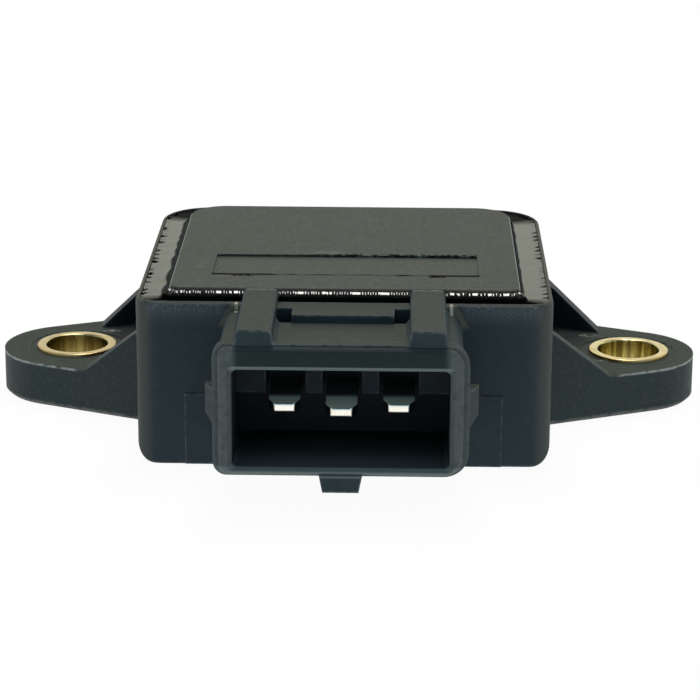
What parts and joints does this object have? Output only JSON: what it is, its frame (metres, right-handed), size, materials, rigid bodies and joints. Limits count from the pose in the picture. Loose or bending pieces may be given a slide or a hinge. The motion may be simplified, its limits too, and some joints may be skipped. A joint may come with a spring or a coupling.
{
  "type": "throttle position sensor",
  "caption": "Flat throttle position sensor: squarish potted body with sleeved mounting ears, a keyed blade connector with top rails, and a rotor that turns on the throttle shaft.",
  "frame": {"origin": "on the shaft axis in the plane of the mounting face, midway between the mounting holes", "axes": "+X along the line of the mounting holes, +Y away from the connector, +Z out of the cover, away from the mounting face"},
  "size_m": [0.0686, 0.0469, 0.0162],
  "materials": {
    "housing": "dark grey-black moulded plastic, fine satin grain",
    "cover": "dark grey-black moulded plastic, matt",
    "potting": "glossy black casting resin",
    "sleeve": "turned brass",
    "terminal": "tinned, satin",
    "solder": "bright solder",
    "board": "white ceramic, matt",
    "carbon": "printed carbon film",
    "conductor": "printed silver film",
    "seal": "black rubber",
    "rotor": "natural filled plastic, satin",
    "wiper": "spring alloy, bright",
    "washer": "spring steel"
  },
  "bodies": {
    "sensor_body": {"housing": "housing", "cover": "cover", "potting_bead": "potting", "potting_front": "potting", "mounting_sleeve_left": "sleeve", "mounting_sleeve_right": "sleeve", "terminal_left": "terminal", "terminal_middle": "terminal", "terminal_right": "terminal", "solder_left": "solder", "solder_middle": "solder", "solder_right": "solder", "track_board": "board", "resistance_track": "carbon", "conductors": "conductor", "seal_ring": "seal"},
    "rotor_body": {"rotor": "rotor", "wiper": "wiper", "thrust_washer": "washer"}
  },
  "joints": [
    {"name": "rotor_turn", "type": "hinge", "parent": "sensor_body", "child": "rotor_body", "pos_m": [0, 0, 0], "axis": [0, 0, 1], "range_deg": [0, 88]}
  ]
}
